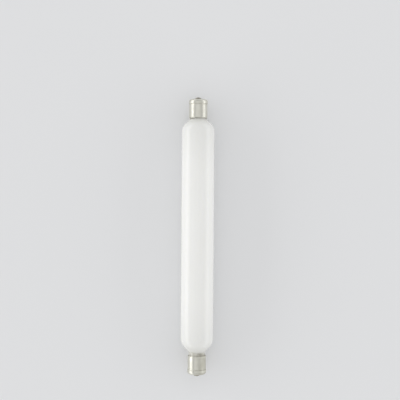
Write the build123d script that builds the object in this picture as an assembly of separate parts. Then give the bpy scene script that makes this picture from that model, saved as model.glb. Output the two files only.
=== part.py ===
from build123d import *
import os
from math import acos, cos, degrees, radians, sin

# A double-ended tubular lamp that lies along X. An opal glass tube is drawn in to a neck at each end,
# and a plated contact cap is cemented on each neck. The origin is the middle of the lamp, on its axis.
# Sizes are millimetres.

# Whole lamp
OVERALL_LENGTH = 221.0  # from one solder tip to the other

# Glass envelope
TUBE_DIAMETER = 25.8
RIGHT_SHOULDER_RADIUS = 9.0  # the tube's wall rolls over into the shoulder's cone
LEFT_SHOULDER_RADIUS = 10.5  # this end was drawn out longer
RIGHT_SHOULDER_ANGLE = 48.0  # the cone's slope to the axis, degrees
LEFT_SHOULDER_ANGLE = 41.0
NECK_FILLET = 1.2  # the cone runs out into the neck
RIGHT_NECK_SHOWN = 0.2  # bare straight neck between cap and shoulder
LEFT_NECK_SHOWN = 1.9
NECK_END_GAP = 2.0  # air between the neck's end and the cap's insulator
SEAL_RIM_RADIUS = 1.2  # fire-polished edge at the neck's end
SEAL_FUNNEL_DEPTH = 3.0  # hollow of the flared seal, below the rim's middle
SEAL_FLOOR_DIAMETER = 2.4

# Cap shell, drawn from sheet
SHELL_DIAMETER = 14.4
SHELL_WALL = 0.3
SHELL_LENGTH = 15.0  # from the mouth to the end face
LIP_RADIUS = 1.0  # flare of the mouth
LIP_ANGLE = 30.0  # degrees
BEAD_RISE = 0.3  # the bead brings the cap to its nominal 15 mm
BEAD_LAND = 1.2
BEAD_BLEND_RADIUS = 0.5
BEAD_INSIDE_RADIUS = 0.2
END_CORNER_RADIUS = 2.2
END_HOLE_DIAMETER = 7.2

# Insulator, pressed glass in the cap's end
INSULATOR_SKIRT = 0.6  # depth behind the bead
INSULATOR_PROUD = 0.45
INSULATOR_EDGE_RADIUS = 0.3

# Contact eyelet, riveted through the insulator
CONTACT_DIAMETER = 4.2
CONTACT_THICKNESS = 0.7
CONTACT_EDGE_RADIUS = 0.25
EYELET_WALL = 0.6
EYELET_FLANGE_WIDTH = 0.6  # shank metal spread over the insulator's inner face
EYELET_FLANGE_THICKNESS = 0.3

# Solder over the eyelet's bore
SOLDER_LAP = 0.7  # solder on the button round the bore
SOLDER_SHOULDER = 0.6  # rounded edge round the flat tip that meets the lampholder
SOLDER_HEIGHT = 0.35
SOLDER_PLUG = 0.8  # depth of solder in the bore

# Cement between neck and shell
CEMENT_THICKNESS = 0.4
CEMENT_RECESS = 0.7
CEMENT_LENGTH = 6.0

# Lead wire from the seal to the solder
LEAD_DIAMETER = 0.7
LEAD_CLEARANCE = 0.25  # to the eyelet's bore
LEAD_IN_SOLDER = 0.5

# Radii that fit one another
shell_radius = SHELL_DIAMETER / 2
shell_inside = shell_radius - SHELL_WALL
neck_radius = shell_inside - CEMENT_THICKNESS
bead_radius = shell_radius + BEAD_RISE
crest_radius = BEAD_INSIDE_RADIUS + SHELL_WALL
hole_radius = END_HOLE_DIAMETER / 2
lead_radius = LEAD_DIAMETER / 2
bore_radius = lead_radius + LEAD_CLEARANCE
shank_radius = bore_radius + EYELET_WALL
flange_radius = shank_radius + EYELET_FLANGE_WIDTH
solder_radius = bore_radius + SOLDER_LAP
tip_radius = solder_radius - SOLDER_SHOULDER

# Places along a cap, measured out from its mouth
bead_angle = degrees(acos(1 - BEAD_RISE / (BEAD_BLEND_RADIUS + crest_radius)))
land_end = SHELL_LENGTH - END_CORNER_RADIUS
land_start = land_end - BEAD_LAND
bead_start = land_start - (BEAD_BLEND_RADIUS + crest_radius) * sin(radians(bead_angle))
insulator_inside = bead_start - INSULATOR_SKIRT
insulator_top = SHELL_LENGTH + INSULATOR_PROUD
contact_top = insulator_top + CONTACT_THICKNESS
cap_length = contact_top + SOLDER_HEIGHT
neck_end = insulator_inside - NECK_END_GAP
seal_rim = neck_end - SEAL_RIM_RADIUS
seal_floor = seal_rim - SEAL_FUNNEL_DEPTH
mouth = OVERALL_LENGTH / 2 - cap_length


def turned(*edges):
    """Solid turned about the lamp's axis from a closed outline of (along, radius) edges."""
    return revolve(make_face(edges), axis=Axis.X)


def ring(start, end, inside, outside):
    """Plain turned ring, or a rod where the inside radius is zero."""
    corners = [(start, inside), (start, outside), (end, outside), (end, inside)]
    return turned(*Polyline(*corners, close=True).edges())


def shell_surface(inset, start=None):
    """Outline of the cap shell's outer surface moved in by inset, from the mouth to the end hole's edge.
    With a start given, it begins there on the straight wall."""
    radius = shell_radius - inset
    slope = radians(LIP_ANGLE)
    edges = []
    if start is None:
        lip_start = ((SHELL_WALL - inset) * sin(slope), radius + (LIP_RADIUS + inset) * (1 - cos(slope)))
        lip = JernArc(lip_start, (cos(slope), -sin(slope)), LIP_RADIUS + inset, LIP_ANGLE)
        edges.append(lip)
        wall = Line(lip @ 1, (bead_start, radius))
    else:
        wall = Line((start, radius), (bead_start, radius))
    blend = JernArc(wall @ 1, (1, 0), BEAD_BLEND_RADIUS + inset, bead_angle)
    crest = JernArc(blend @ 1, blend % 1, crest_radius - inset, -bead_angle)
    land = Line(crest @ 1, (land_end, bead_radius - inset))
    corner = JernArc(land @ 1, (1, 0), END_CORNER_RADIUS - inset, -90)
    end_face = Line(corner @ 1, (SHELL_LENGTH - inset, hole_radius))
    return edges + [wall, blend, crest, land, corner, end_face]


def cap_shell():
    """Thin drawn shell: flared mouth, straight wall, bead, rounded end and the hole for the insulator."""
    outer = shell_surface(0)
    inner = shell_surface(SHELL_WALL)
    mouth_edge = Line(inner[0] @ 0, outer[0] @ 0)
    hole_edge = Line(outer[-1] @ 1, inner[-1] @ 1)
    return turned(mouth_edge, *outer, hole_edge, *inner)


def cap_insulator():
    """Glass that fills the cap's end behind the bead and stands proud through the end hole."""
    seat = shell_surface(SHELL_WALL, insulator_inside)
    inside_face = Line((insulator_inside, shank_radius), seat[0] @ 0)
    boss_side = Line(seat[-1] @ 1, (insulator_top - INSULATOR_EDGE_RADIUS, hole_radius))
    boss_edge = JernArc(boss_side @ 1, (1, 0), INSULATOR_EDGE_RADIUS, -90)
    boss_face = Line(boss_edge @ 1, (insulator_top, shank_radius))
    bore_wall = Line(boss_face @ 1, inside_face @ 0)
    return turned(inside_face, *seat, boss_side, boss_edge, boss_face, bore_wall)


def contact_eyelet():
    """Flat contact button whose hollow shank is spread over the insulator's inner face."""
    button_radius = CONTACT_DIAMETER / 2
    flange_face = insulator_inside - EYELET_FLANGE_THICKNESS
    shank = Polyline(
        (contact_top, bore_radius),
        (flange_face, bore_radius),
        (flange_face, flange_radius),
        (insulator_inside, flange_radius),
        (insulator_inside, shank_radius),
        (insulator_top, shank_radius),
        (insulator_top, button_radius),
        (contact_top - CONTACT_EDGE_RADIUS, button_radius),
    )
    edge = JernArc(shank @ 1, (1, 0), CONTACT_EDGE_RADIUS, -90)
    face = Line(edge @ 1, shank @ 0)
    return turned(*shank.edges(), edge, face)


def lead_wire():
    """Wire from the seal's floor up the eyelet and into the solder."""
    return ring(seal_floor, contact_top - SOLDER_PLUG + LEAD_IN_SOLDER, 0, lead_radius)


def contact_solder():
    """Solder that closes the eyelet's bore round the wire, crowned with a flat tip."""
    plug_end = contact_top - SOLDER_PLUG
    tip = (cap_length, tip_radius)
    crown = TangentArc(tip, (contact_top, solder_radius), tangent=(0, 1))
    plug = Polyline(
        crown @ 1,
        (contact_top, bore_radius),
        (plug_end, bore_radius),
        (plug_end, 0),
        (cap_length, 0),
        tip,
    )
    return turned(crown, *plug.edges()) - lead_wire()


def cap_cement():
    """Ring of cement that holds the shell on the glass neck."""
    return ring(CEMENT_RECESS, CEMENT_RECESS + CEMENT_LENGTH, neck_radius, shell_inside)


def glass_end(neck_shown, shoulder_radius, shoulder_angle):
    """Outline of one end of the glass, pointing right.
    It runs from the tube over shoulder and neck to the seal's floor on the axis."""
    slope = radians(shoulder_angle)
    tube_radius = TUBE_DIAMETER / 2
    arcs_drop = (shoulder_radius + NECK_FILLET) * (1 - cos(slope))
    cone_length = (tube_radius - neck_radius - arcs_drop) / sin(slope)
    shoulder_length = (shoulder_radius + NECK_FILLET) * sin(slope) + cone_length * cos(slope)
    tube_end = mouth - neck_shown - shoulder_length
    roll = JernArc((tube_end, tube_radius), (1, 0), shoulder_radius, -shoulder_angle)
    cone = Line(roll @ 1, roll @ 1 + (roll % 1) * cone_length)
    fillet = JernArc(cone @ 1, cone % 1, NECK_FILLET, shoulder_angle)
    neck = Line(fillet @ 1, (mouth + seal_rim, neck_radius))
    rim = JernArc(neck @ 1, (1, 0), SEAL_RIM_RADIUS, -180)
    funnel = Line(rim @ 1, (mouth + seal_floor, SEAL_FLOOR_DIAMETER / 2))
    floor = Line(funnel @ 1, (mouth + seal_floor, 0))
    return [roll, cone, fillet, neck, rim, funnel, floor]


def glass_envelope():
    """Sealed opal glass, closed all round, so a single solid."""
    right = glass_end(RIGHT_NECK_SHOWN, RIGHT_SHOULDER_RADIUS, RIGHT_SHOULDER_ANGLE)
    left_drawn = glass_end(LEFT_NECK_SHOWN, LEFT_SHOULDER_RADIUS, LEFT_SHOULDER_ANGLE)
    left = [edge.mirror(Plane.YZ) for edge in left_drawn]
    tube = Line(left[0] @ 0, right[0] @ 0)
    axis = Line(right[-1] @ 1, left[-1] @ 1)
    return turned(tube, *right, axis, *left)


CAP_PIECES = {
    "cap_shell": cap_shell(),
    "cap_insulator": cap_insulator(),
    "cap_cement": cap_cement(),
    "contact_eyelet": contact_eyelet(),
    "contact_solder": contact_solder(),
    "lead_wire": lead_wire(),
}
CAP_PLACES = {
    "right": Pos(mouth, 0, 0),
    "left": Pos(-mouth, 0, 0) * Rot(0, 0, 180),
}

os.makedirs("parts", exist_ok=True)
export_step(glass_envelope(), "parts/glass_envelope.step")
for side, place in CAP_PLACES.items():
    for piece, solid in CAP_PIECES.items():
        export_step(place * solid, f"parts/{side}_{piece}.step")
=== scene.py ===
import math

import bmesh
import bpy
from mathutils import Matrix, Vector, noise


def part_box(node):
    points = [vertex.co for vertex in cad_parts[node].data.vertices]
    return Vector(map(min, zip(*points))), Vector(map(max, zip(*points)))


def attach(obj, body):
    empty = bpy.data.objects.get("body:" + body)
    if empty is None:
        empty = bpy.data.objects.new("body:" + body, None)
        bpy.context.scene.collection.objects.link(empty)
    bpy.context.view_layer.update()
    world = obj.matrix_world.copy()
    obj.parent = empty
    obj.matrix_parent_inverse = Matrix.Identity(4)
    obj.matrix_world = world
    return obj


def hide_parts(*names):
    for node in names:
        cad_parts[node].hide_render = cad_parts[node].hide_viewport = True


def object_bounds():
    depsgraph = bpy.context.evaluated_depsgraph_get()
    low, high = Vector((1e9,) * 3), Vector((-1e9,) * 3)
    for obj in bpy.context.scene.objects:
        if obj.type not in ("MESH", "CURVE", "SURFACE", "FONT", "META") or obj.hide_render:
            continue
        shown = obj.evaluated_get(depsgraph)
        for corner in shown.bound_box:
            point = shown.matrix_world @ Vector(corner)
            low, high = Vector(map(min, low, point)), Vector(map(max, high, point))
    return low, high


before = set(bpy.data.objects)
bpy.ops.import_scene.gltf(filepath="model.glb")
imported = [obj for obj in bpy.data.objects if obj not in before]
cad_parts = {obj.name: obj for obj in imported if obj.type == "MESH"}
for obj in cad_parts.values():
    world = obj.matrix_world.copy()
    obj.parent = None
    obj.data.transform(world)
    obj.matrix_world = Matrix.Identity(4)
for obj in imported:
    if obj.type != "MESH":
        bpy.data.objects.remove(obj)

# A double-ended opal lamp that lies along X, seen from above.
# Lengths are metres, but materials work in millimetres, and so do values whose name ends in MM.

CAD_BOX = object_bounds()
MM = 0.001
CAPS = {"right": 1, "left": -1}  # the way that each cap points along X

# Camera, straight above the lamp. The image is square, +X points up in it and -Y to the right.
IMAGE_PIXELS = 400
FOCAL_PIXELS = 970.2
SENSOR_WIDTH_MM = 36.0
CAMERA_PLACE = (0.02916, -0.00178, 0.77)
CAMERA_TURN = math.radians(-89.623)

# Floor
FLOOR_HALF_WIDTH = 4.0
FLOOR_COLOUR = (0.785, 0.791, 0.802)

# Room: even light from all round. Camera, metal and glass see a pale backdrop at the horizon,
# greyer walls above it and a pale ceiling.
ROOM_LIGHT = 0.825
BACKDROP_COLOUR = (0.69, 0.697, 0.708)
WALL_COLOUR = (0.50, 0.503, 0.51)
CEILING_COLOUR = (0.80, 0.803, 0.81)
ROOM_STOPS = (  # each colour with the sine of its elevation
    (0.30, BACKDROP_COLOUR),
    (0.48, WALL_COLOUR),
    (0.76, WALL_COLOUR),
    (0.90, CEILING_COLOUR),
)

# Softboxes: long, low and well away from the lamp, at the image's left and right
SOFTBOX_LENGTH = 40.0
SOFTBOX_HEIGHT = 6.0
SOFTBOX_DISTANCE = 12.0
SOFTBOX_WAYS = {"left": 1, "right": -1}  # along Y
SOFTBOX_RADIANCE = {"left": 1.35, "right": 0.8}

# Refined pieces
RING_SEGMENTS = 72
CROWN_STEPS = 8
CEMENT_FACE_STEPS = 6
SHARP_ANGLE = math.radians(40)
SOLDER_TIP_RADIUS = 0.7 * MM
SOLDER_EDGE_UNEVEN = 0.14  # share of the radius
SOLDER_SAG = 0.09 * MM
CEMENT_SQUEEZE = 0.5 * MM

# Places of marks on the glass
POWDER_GREYS_MM = (45, 92)  # from the lamp's middle
# Beyond where the powder stops, the neck is bare glass with stains and painted shade
POWDER_STOPS_MM = {"right": 0.3, "left": 2.4}  # from the cap's mouth
POWDER_EDGE_RAGGED_MM = 3.0

# Places of marks on the caps, from the mouth: where a mark starts and where it is full,
# and for one that ends again also where it fades and where it ends
# Grime with painted shade, at the mouth and in the groove
MOUTH_GRIME_SHADE_MM = (1.2, 0.0)
GROOVE_GRIME_SHADE_MM = (10.2, 11.0, 11.2, 11.7)
# Lip and bead, left bright as painted highlights within the painted shade of the left cap's side
BRIGHT_LIP_MM = (2.0, 1.0)
BRIGHT_BEAD_MM = (11.2, 11.7, 12.6, 13.4)
# Painted shade on one side of the left cap
SIDE_SHADE_MM = (0.5, -3.0)  # this one along Y

# Sockets of a colour mix node
MIX_FACTOR, MIX_FIRST, MIX_SECOND, MIX_RESULT = 0, 6, 7, 2


def radii(node):
    """Smallest and largest distance of a CAD node's vertices from the lamp's axis."""
    distances = [math.hypot(v.co.y, v.co.z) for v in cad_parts[node].data.vertices]
    return min(distances), max(distances)


def reach(node):
    """Nearest and furthest place of a CAD node along the lamp, from its middle."""
    return sorted(abs(corner.x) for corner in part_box(node))


# Sizes that the frame gives
MOUTH = reach("right_cap_shell")[0]
TUBE_RADIUS = CAD_BOX[1].z
NECK_RADIUS, SHELL_INSIDE = radii("right_cap_cement")
BORE_RADIUS = radii("right_contact_eyelet")[0]
LEAD_RADIUS = radii("right_lead_wire")[1]
SOLDER_RADIUS = radii("right_contact_solder")[1]


def add_node(tree, kind, inputs=None, **settings):
    """A node whose inputs are constants or other nodes' outputs."""
    made = tree.nodes.new(kind)
    for name, value in settings.items():
        setattr(made, name, value)
    for name, value in (inputs or {}).items():
        if isinstance(value, bpy.types.NodeSocket):
            tree.links.new(value, made.inputs[name])
        else:
            made.inputs[name].default_value = value
    return made


def opaque(colour):
    """A constant colour with its alpha. Another node's output stays as it is."""
    return colour if isinstance(colour, bpy.types.NodeSocket) else (*colour, 1.0)


class Surface:
    """A material under construction. Its textures are placed by the lamp's own frame, in millimetres."""

    def __init__(self, name):
        self.material = bpy.data.materials.new(name)
        self.material.use_nodes = True
        self.tree = self.material.node_tree
        self.tree.nodes.clear()
        frame_place = self.add("ShaderNodeTexCoord").outputs["Object"]
        self.place = self.scale(frame_place, (1 / MM, 1 / MM, 1 / MM))
        axes = self.add("ShaderNodeSeparateXYZ", {"Vector": self.place}).outputs
        self.along, self.aside = axes["X"], axes["Y"]
        across = self.scale(self.place, (0, 1, 1))
        self.radius = self.add("ShaderNodeVectorMath", {0: across}, operation="LENGTH").outputs["Value"]

    def add(self, kind, inputs=None, **settings):
        return add_node(self.tree, kind, inputs, **settings)

    def scale(self, place, factors):
        """A place with each coordinate times its own factor."""
        scaled = self.add("ShaderNodeVectorMath", {0: place, 1: factors}, operation="MULTIPLY")
        return scaled.outputs["Vector"]

    def math(self, operation, first, second=0.0):
        return self.add("ShaderNodeMath", {0: first, 1: second}, operation=operation).outputs["Value"]

    def times(self, first, second):
        return self.math("MULTIPLY", first, second)

    def step(self, value, low, high, to_low=0.0, to_high=1.0):
        """A soft step as value goes from low to high."""
        inputs = {"Value": value, "From Min": low, "From Max": high, "To Min": to_low, "To Max": to_high}
        return self.add("ShaderNodeMapRange", inputs, interpolation_type="SMOOTHSTEP").outputs["Result"]

    def band(self, value, start, full, fade, end):
        """A soft band, 1 from full to fade and 0 outside start and end."""
        return self.times(self.step(value, start, full), self.step(value, end, fade))

    def noise(self, size, stretch=1.0, detail=2.0, roughness=0.5):
        """Noise with features of about size, drawn out along the lamp by stretch."""
        place = self.scale(self.place, (1 / stretch, 1, 1))
        inputs = {"Vector": place, "Scale": 1 / size, "Detail": detail, "Roughness": roughness}
        return self.add("ShaderNodeTexNoise", inputs).outputs["Fac"]

    def patches(self, size, low, high, **noise_settings):
        """Soft patches of 0 and 1, where noise passes from low to high."""
        return self.step(self.noise(size, **noise_settings), low, high)

    def mix(self, factor, first, second):
        """The first colour where factor is 0, the second where it is 1."""
        inputs = {MIX_FACTOR: factor, MIX_FIRST: opaque(first), MIX_SECOND: opaque(second)}
        return self.add("ShaderNodeMix", inputs, data_type="RGBA").outputs[MIX_RESULT]

    def tint(self, base, colour, mask, strength):
        """The base with a colour laid over it where the mask is 1."""
        return self.mix(self.times(mask, strength), base, colour)

    def bump(self, height, depth):
        return self.add("ShaderNodeBump", {"Height": height, "Distance": depth * MM}).outputs["Normal"]

    def finish(self, **inputs):
        """The material, with inputs for its shader whose names have _ for a space."""
        named = {name.replace("_", " "): value for name, value in inputs.items()}
        shader = self.add("ShaderNodeBsdfPrincipled", named)
        self.add("ShaderNodeOutputMaterial", {"Surface": shader.outputs["BSDF"]})
        return self.material


def powder_white(s, from_middle, grains):
    """White powder in clouds, grains and streaks, greyer towards the lamp's ends, and on the shoulders
    darkened by thin powder and painted shade.
    """
    thin_cloud, thick_cloud = (0.85, 0.852, 0.83), (0.875, 0.877, 0.858)
    grain, streak = (0.83, 0.83, 0.81), (0.89, 0.887, 0.87)
    near_ends, thin_shaded_necks = (0.80, 0.802, 0.78), (0.70, 0.70, 0.665)
    white = s.mix(s.patches(24, 0.3, 0.7, stretch=2.5, detail=3), thin_cloud, thick_cloud)
    white = s.tint(white, grain, grains, 0.35)
    white = s.tint(white, streak, s.patches(1.2, 0.3, 0.7, stretch=50), 0.3)
    white = s.mix(s.step(from_middle, *POWDER_GREYS_MM), white, near_ends)
    # Thinner powder and painted shade: greyer on the shoulders, from the tube's radius down to the neck's
    return s.mix(s.step(s.radius, NECK_RADIUS / MM, TUBE_RADIUS / MM), thin_shaded_necks, white)


def powder_cover(s, from_middle):
    """1 on the powder and 0 on bare glass, with a ragged edge short of each cap."""
    stop = s.step(s.along, -1, 1, POWDER_STOPS_MM["left"], POWDER_STOPS_MM["right"])
    ragged = s.times(s.math("SUBTRACT", s.noise(7), 0.5), POWDER_EDGE_RAGGED_MM)
    from_mouth = s.math("SUBTRACT", MOUTH / MM, from_middle)
    inside_edge = s.math("ADD", s.math("SUBTRACT", from_mouth, stop), ragged)
    return s.step(inside_edge, -0.8, 1.0)


def opal_glass():
    """Clear glass over white powder; at the necks bare glass, stained and darkened by painted shade next
    to the caps.
    """
    s = Surface("opal_glass")
    from_middle = s.math("ABSOLUTE", s.along)
    grains = s.patches(1.4, 0.25, 0.75, detail=4)
    # Neck colour where the powder stops: stains on bare glass, with painted shade of the recess at each
    # cap
    stain_and_shade, bare = (0.36, 0.345, 0.29), (0.60, 0.59, 0.53)
    neck = s.mix(s.patches(6.5, 0.36, 0.64, detail=3), stain_and_shade, bare)
    colour = s.mix(powder_cover(s, from_middle), neck, powder_white(s, from_middle, grains))
    smudges = s.step(s.noise(9, detail=5, roughness=0.6), 0.4, 0.75, 0.08, 0.18)
    waves = s.math("ADD", s.noise(6, stretch=12), s.times(grains, 0.03))
    return s.finish(
        Base_Color=colour, Roughness=smudges, IOR=1.5, Normal=s.bump(waves, 0.006),
        Subsurface_Weight=0.25, Subsurface_Radius=(1.0, 1.0, 0.9), Subsurface_Scale=2 * MM,
    )


def cap_grime_and_shade(s, from_mouth):
    """Dirt at the cap's mouth and in the groove before its bead, darker there as painted shade of these
    creases.
    """
    mouth = s.step(from_mouth, *MOUTH_GRIME_SHADE_MM, to_high=0.4)
    groove = s.band(from_mouth, *GROOVE_GRIME_SHADE_MM)
    return s.times(s.math("MAXIMUM", mouth, groove), s.patches(2.4, 0.2, 0.8, detail=3))


def nickel_plate():
    """Satin plate on drawn sheet: fine lines along the cap, dull patches, grime and painted shade in
    creases.
    The left cap has painted shade on one side, but not on lip and bead: these stay bright as painted
    highlights."""
    s = Surface("nickel_plate")
    dull, bright = (0.745, 0.735, 0.655), (0.82, 0.81, 0.732)
    side_shade, drawn_line, dirt_and_shade = (0.50, 0.49, 0.42), (0.62, 0.61, 0.535), (0.36, 0.34, 0.27)
    from_mouth = s.math("SUBTRACT", s.math("ABSOLUTE", s.along), MOUTH / MM)
    lines = s.noise(0.16, stretch=80, detail=3)
    bands = s.patches(1.7, 0.38, 0.62, stretch=40, detail=1)
    polish = s.patches(3.5, 0.35, 0.7, stretch=1.5, detail=4)
    # The left cap's painted shade on its side towards -Y, and where it is left off so lip and bead stay
    # bright as painted highlights
    shaded_side = s.times(s.step(s.along, 1, -1), s.step(s.aside, *SIDE_SHADE_MM))
    bright_lip_and_bead = s.math("MAXIMUM", s.step(from_mouth, *BRIGHT_LIP_MM), s.band(from_mouth, *BRIGHT_BEAD_MM))
    grime_and_shade = cap_grime_and_shade(s, from_mouth)
    metal = s.mix(polish, dull, bright)
    # Painted shade on one side, left off the bright lip and bead
    metal = s.tint(metal, side_shade, s.times(shaded_side, s.step(bright_lip_and_bead, 1, 0)), 0.55)
    metal = s.tint(metal, drawn_line, s.step(lines, 0.35, 0.7), 0.35)
    metal = s.tint(metal, drawn_line, bands, 0.35)
    # Grime at mouth and groove, with painted shade of these creases
    metal = s.tint(metal, dirt_and_shade, grime_and_shade, 0.5)
    roughness = s.math("ADD", s.step(polish, 0, 1, 0.40, 0.30), s.times(grime_and_shade, 0.2))
    roughness = s.math("ADD", roughness, s.times(shaded_side, 0.25))
    return s.finish(Base_Color=metal, Metallic=1.0, Roughness=roughness, Normal=s.bump(lines, 0.004))


def black_glass():
    """Pressed insulating glass, nearly black, with a fire-polished and slightly rippled face."""
    s = Surface("black_glass")
    black, greyish = (0.012, 0.012, 0.016), (0.05, 0.048, 0.055)
    colour = s.mix(s.patches(1.2, 0.4, 0.8, detail=4), black, greyish)
    roughness = s.step(s.noise(0.8, detail=4), 0.3, 0.8, 0.08, 0.3)
    return s.finish(Base_Color=colour, Roughness=roughness, IOR=1.6, Normal=s.bump(s.noise(1.0), 0.02))


def cement():
    """Baked resin cement, brown-grey and grainy."""
    s = Surface("cement")
    dark, pale = (0.42, 0.39, 0.33), (0.60, 0.57, 0.49)
    grain = s.noise(0.25, detail=6, roughness=0.7)
    colour = s.mix(s.step(grain, 0.3, 0.7), dark, pale)
    return s.finish(Base_Color=colour, Roughness=0.85, Normal=s.bump(grain, 0.06))


def dull_brass():
    """Contact metal gone dull, with faint turned rings and dark spots."""
    s = Surface("dull_brass")
    brass, spot = (0.37, 0.33, 0.235), (0.17, 0.152, 0.115)
    spots = s.patches(0.5, 0.42, 0.72, detail=5, roughness=0.65)
    colour = s.mix(spots, brass, spot)
    ring_inputs = {"Vector": s.place, "Scale": 1.5, "Distortion": 1.0, "Detail": 2.0}
    rings = s.add("ShaderNodeTexWave", ring_inputs, wave_type="RINGS", rings_direction="X").outputs["Fac"]
    roughness = s.step(spots, 0, 1, 0.32, 0.55)
    return s.finish(Base_Color=colour, Metallic=1.0, Roughness=roughness, Normal=s.bump(rings, 0.006))


def solder():
    """Dull tin-lead, frosted where it cooled last, with a little brown flux at its edge."""
    s = Surface("solder")
    bright, frosted, brown = (0.41, 0.41, 0.41), (0.26, 0.26, 0.27), (0.28, 0.19, 0.09)
    frost = s.patches(0.35, 0.35, 0.7, detail=5)
    flux = s.times(s.step(s.radius, 0.8, 1.3), s.patches(0.6, 0.45, 0.65, detail=4))
    colour = s.tint(s.mix(frost, bright, frosted), brown, flux, 0.7)
    roughness = s.step(frost, 0, 1, 0.28, 0.5)
    grain = s.bump(s.noise(0.3, detail=4), 0.02)
    return s.finish(Base_Color=colour, Metallic=1.0, Roughness=roughness, Normal=grain)


def copper():
    """Bare lead wire, tarnished."""
    s = Surface("copper")
    bare, shaded_side = (0.72, 0.43, 0.28), (0.4, 0.22, 0.14)
    colour = s.mix(s.noise(0.4, detail=4), bare, shaded_side)
    return s.finish(Base_Color=colour, Metallic=1.0, Roughness=0.4)


def add_object(name, data):
    """An object in the scene that holds a mesh, light or camera."""
    made = bpy.data.objects.new(name, data)
    bpy.context.scene.collection.objects.link(made)
    return made


def turned(outline, uneven, way, closed):
    """Surface turned about the lamp's axis from (place along X, radius) points.
    The uneven function moves each point by its angle. A closed outline makes a hollow ring."""
    made = bmesh.new()
    rings = []
    for along, radius in outline:
        ring = []
        for step in range(RING_SEGMENTS if radius > 0 else 1):
            angle = step * math.tau / RING_SEGMENTS
            x, r = uneven(along, radius, angle)
            ring.append(made.verts.new((way * x, r * math.cos(angle), r * math.sin(angle))))
        rings.append(ring)
    pairs = list(zip(rings, rings[1:]))
    if closed:
        pairs.append((rings[-1], rings[0]))
    for first, second in pairs:
        for step in range(RING_SEGMENTS):
            places = (first, step), (first, step + 1), (second, step + 1), (second, step)
            corners = [ring[i % len(ring)] for ring, i in places]
            made.faces.new(dict.fromkeys(corners))
    return made


def add_piece(name, made, material, node):
    """A finished surface as the piece that stands for a CAD node."""
    bmesh.ops.recalc_face_normals(made, faces=made.faces)
    mesh = bpy.data.meshes.new(name)
    made.to_mesh(mesh)
    made.free()
    mesh.materials.append(material)
    mesh.shade_smooth()
    mesh.set_sharp_from_angle(angle=SHARP_ANGLE)
    piece = add_object(name, mesh)
    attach(piece, "root")
    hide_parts(node)


def wobble(angle, waves, seed):
    """Smooth noise round a turn, from -1 to 1, without a seam."""
    return noise.noise(Vector((waves * math.cos(angle), waves * math.sin(angle), seed)))


def solder_outline(button_face, plug_end, tip, lead_end):
    """Outline of the solder: a flat tip, a round crown, the plug in the bore and the wire's hole."""
    spread = SOLDER_RADIUS - SOLDER_TIP_RADIUS
    height = tip - button_face
    crown_radius = (spread ** 2 + height ** 2) / (2 * height)
    outline = [(tip, 0.0), (tip, SOLDER_TIP_RADIUS / 2)]
    for step in range(CROWN_STEPS + 1):
        out = spread * step / CROWN_STEPS
        drop = crown_radius - math.sqrt(crown_radius ** 2 - out ** 2)
        outline.append((tip - drop, SOLDER_TIP_RADIUS + out))
    plug = [(button_face, BORE_RADIUS), (plug_end, BORE_RADIUS), (plug_end, LEAD_RADIUS)]
    return outline + plug + [(lead_end, LEAD_RADIUS), (lead_end, 0.0)]


def solder_tip(side, material):
    """Solder that closes the eyelet, with a crown that sags and spreads unevenly."""
    way = CAPS[side]
    plug_end, tip = reach(f"{side}_contact_solder")
    button_face = reach(f"{side}_contact_eyelet")[1]
    lead_end = reach(f"{side}_lead_wire")[1]

    def uneven(along, radius, angle):
        if radius <= SOLDER_TIP_RADIUS:
            return along, radius
        share = (radius - SOLDER_TIP_RADIUS) / (SOLDER_RADIUS - SOLDER_TIP_RADIUS)
        widen = share * SOLDER_EDGE_UNEVEN * wobble(angle, waves=1.1, seed=3.0 * way)
        hollow = 4 * share * (1 - share)
        sag = SOLDER_SAG * hollow * (0.5 + 0.5 * wobble(angle, waves=1.6, seed=7.0 + way))
        return max(along - sag, button_face), radius * (1 + widen)

    made = turned(solder_outline(button_face, plug_end, tip, lead_end), uneven, way, closed=False)
    add_piece(f"{side}_solder_tip", made, material, f"{side}_contact_solder")


def cement_ring(side, material):
    """Cement between neck and shell, squeezed out unevenly towards the cap's mouth."""
    way = CAPS[side]
    front, back = reach(f"{side}_cap_cement")
    width = SHELL_INSIDE - NECK_RADIUS
    steps = range(CEMENT_FACE_STEPS + 1)
    face = [(front, NECK_RADIUS + width * step / CEMENT_FACE_STEPS) for step in steps]
    outline = face + [(back, SHELL_INSIDE), (back, NECK_RADIUS)]

    def uneven(along, radius, angle):
        if along > front:
            return along, radius
        share = (radius - NECK_RADIUS) / width
        creep = 0.55 + 0.45 * (1 - 2 * share) ** 2  # more at neck and shell than between them
        lumps = 0.4 * wobble(angle, waves=5.0, seed=11.0 * way)
        grains = 0.25 * wobble(angle, waves=17.0, seed=5.0 * way + share)
        squeezed = min(max(creep * (0.5 + lumps + grains), 0.05), 1.0)
        return along - CEMENT_SQUEEZE * squeezed, radius

    made = turned(outline, uneven, way, closed=True)
    add_piece(f"{side}_cement_ring", made, material, f"{side}_cap_cement")


def dress(node, material):
    """Gives a CAD node its material."""
    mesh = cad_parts[node].data
    mesh.materials.clear()
    mesh.materials.append(material)


def add_floor():
    """Plain pale floor that the lamp lies on."""
    mesh = bpy.data.meshes.new("floor")
    w, z = FLOOR_HALF_WIDTH, CAD_BOX[0].z
    mesh.from_pydata([(-w, -w, z), (w, -w, z), (w, w, z), (-w, w, z)], [], [(0, 1, 2, 3)])
    pale = Surface("floor").finish(Base_Color=opaque(FLOOR_COLOUR), Roughness=0.9, Specular_IOR_Level=0.2)
    mesh.materials.append(pale)
    add_object("floor", mesh)


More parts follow.
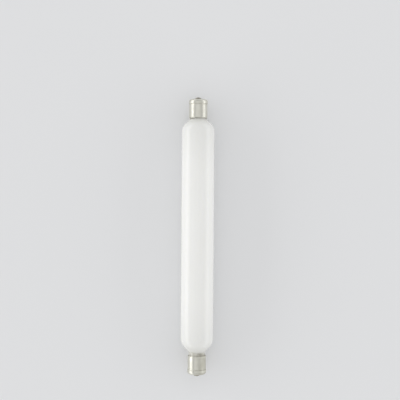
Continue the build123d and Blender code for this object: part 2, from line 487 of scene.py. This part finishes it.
def add_room():
    """Even light from all round. Camera, metal and glass see backdrop, walls and ceiling instead."""
    world = bpy.data.worlds.new("room")
    world.use_nodes = True
    bpy.context.scene.world = world
    tree = world.node_tree
    tree.nodes.clear()
    direction = add_node(tree, "ShaderNodeTexCoord").outputs["Generated"]
    height = add_node(tree, "ShaderNodeSeparateXYZ", {"Vector": direction}).outputs["Z"]
    room = add_node(tree, "ShaderNodeValToRGB", {"Fac": height})
    stops = room.color_ramp.elements
    room.color_ramp.interpolation = "EASE"
    while len(stops) < len(ROOM_STOPS):
        stops.new(1.0)
    for stop, (sine, colour) in zip(stops, ROOM_STOPS):
        stop.position = sine
        stop.color = opaque(colour)
    path = add_node(tree, "ShaderNodeLightPath").outputs
    mirrored_by = {0: path["Is Glossy Ray"], 1: path["Is Transmission Ray"]}
    mirrored = add_node(tree, "ShaderNodeMath", mirrored_by, operation="MAXIMUM").outputs["Value"]
    seen_by = {0: path["Is Camera Ray"], 1: mirrored}
    seen = add_node(tree, "ShaderNodeMath", seen_by, operation="MAXIMUM").outputs["Value"]
    light = add_node(tree, "ShaderNodeBackground", {"Color": (1, 1, 1, 1), "Strength": ROOM_LIGHT})
    view = add_node(tree, "ShaderNodeBackground", {"Color": room.outputs["Color"]})
    choices = {0: seen, 1: light.outputs["Background"], 2: view.outputs["Background"]}
    choice = add_node(tree, "ShaderNodeMixShader", choices)
    add_node(tree, "ShaderNodeOutputWorld", {"Surface": choice.outputs["Shader"]})


def add_softbox(side):
    """A long soft light beyond the floor's edge that faces the lamp, out of the camera's sight."""
    data = bpy.data.lights.new(f"{side}_softbox", "AREA")
    data.shape = "RECTANGLE"
    data.size = SOFTBOX_LENGTH
    data.size_y = SOFTBOX_HEIGHT
    data.energy = SOFTBOX_RADIANCE[side] * math.pi * SOFTBOX_LENGTH * SOFTBOX_HEIGHT
    light = add_object(f"{side}_softbox", data)
    way = SOFTBOX_WAYS[side]
    light.location = (0, way * SOFTBOX_DISTANCE, CAD_BOX[0].z + SOFTBOX_HEIGHT / 2)
    light.rotation_euler = (-way * math.pi / 2, 0, 0)
    light.visible_camera = False


def add_camera():
    """Camera that looks straight down, with the photograph's framing."""
    data = bpy.data.cameras.new("camera")
    data.sensor_width = SENSOR_WIDTH_MM
    data.lens = FOCAL_PIXELS / IMAGE_PIXELS * SENSOR_WIDTH_MM
    camera = add_object("camera", data)
    camera.location = CAMERA_PLACE
    camera.rotation_euler = (0, 0, CAMERA_TURN)
    bpy.context.scene.camera = camera


dress("glass_envelope", opal_glass())
CAP_MATERIALS = {
    "cap_shell": nickel_plate(),
    "cap_insulator": black_glass(),
    "contact_eyelet": dull_brass(),
    "lead_wire": copper(),
}
SOLDER = solder()
CEMENT = cement()
for side in CAPS:
    for piece, material in CAP_MATERIALS.items():
        dress(f"{side}_{piece}", material)
    solder_tip(side, SOLDER)
    cement_ring(side, CEMENT)

add_floor()
add_room()
for side in SOFTBOX_WAYS:
    add_softbox(side)
add_camera()
bpy.context.scene.view_settings.view_transform = "Standard"
